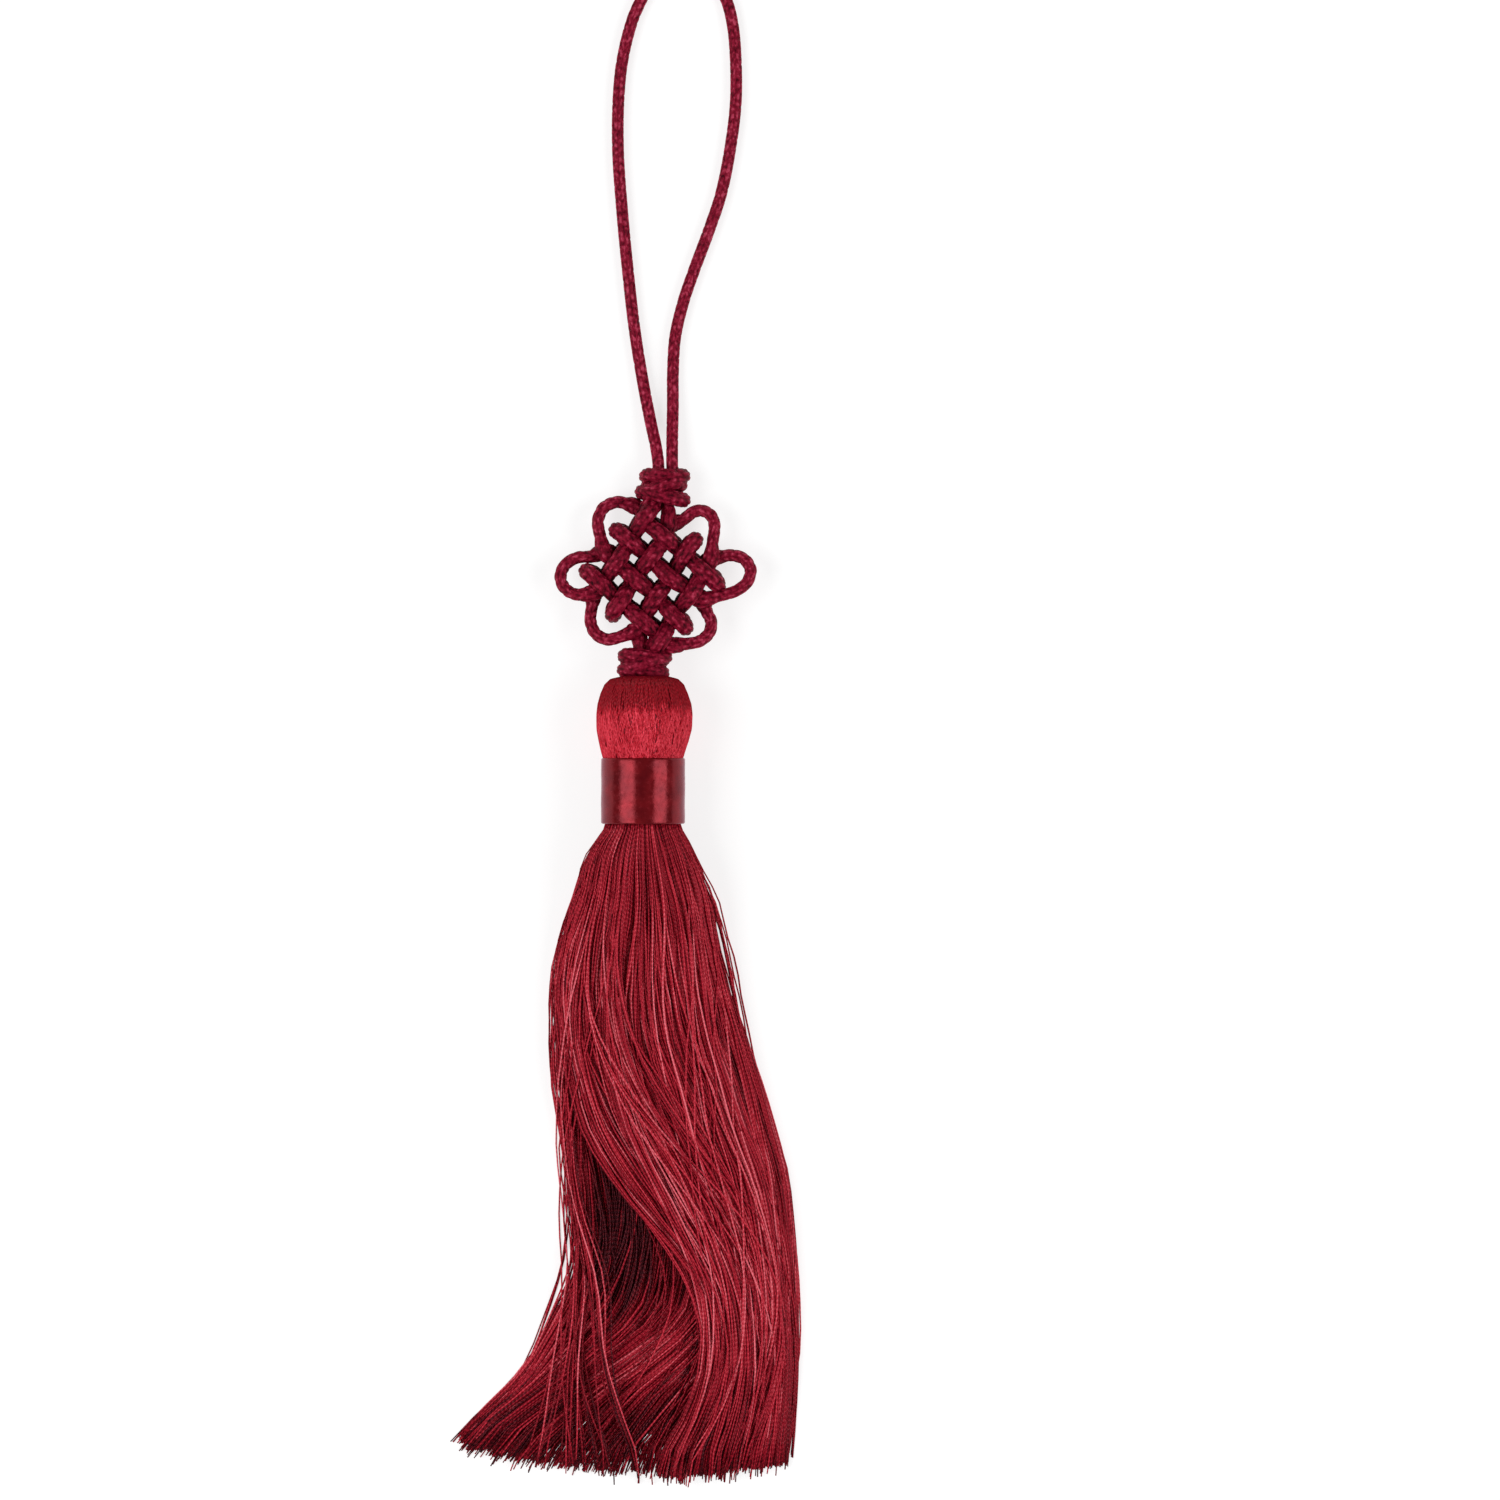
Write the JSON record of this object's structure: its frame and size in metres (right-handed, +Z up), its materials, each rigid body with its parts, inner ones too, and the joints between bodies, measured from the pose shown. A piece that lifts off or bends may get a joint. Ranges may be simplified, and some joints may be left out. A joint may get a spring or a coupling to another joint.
{
  "type": "knotted cord tassel",
  "caption": "Hanging tassel: a long cord loop, a woven flower knot between two double knots, and a silk yarn tassel with a satin collar, lying on its back.",
  "frame": {"origin": "on the surface that the tassel lies on, at the middle of the head's flat spot", "axes": "+Y along the tassel from the skirt to the loop, +Z up from the surface, +X to the right as seen from above with the loop away"},
  "size_m": [0.0559, 0.2664, 0.0159],
  "materials": {
    "cord": "finely braided wine red cord",
    "satin": "smooth satin winding with a soft sheen",
    "yarn": "two-ply silky thread, crimson"
  },
  "bodies": {
    "root": {"hanging_loop": "cord", "knotted_cord": "cord", "satin_collar": "satin", "tassel_yarn": "yarn"}
  },
  "joints": []
}
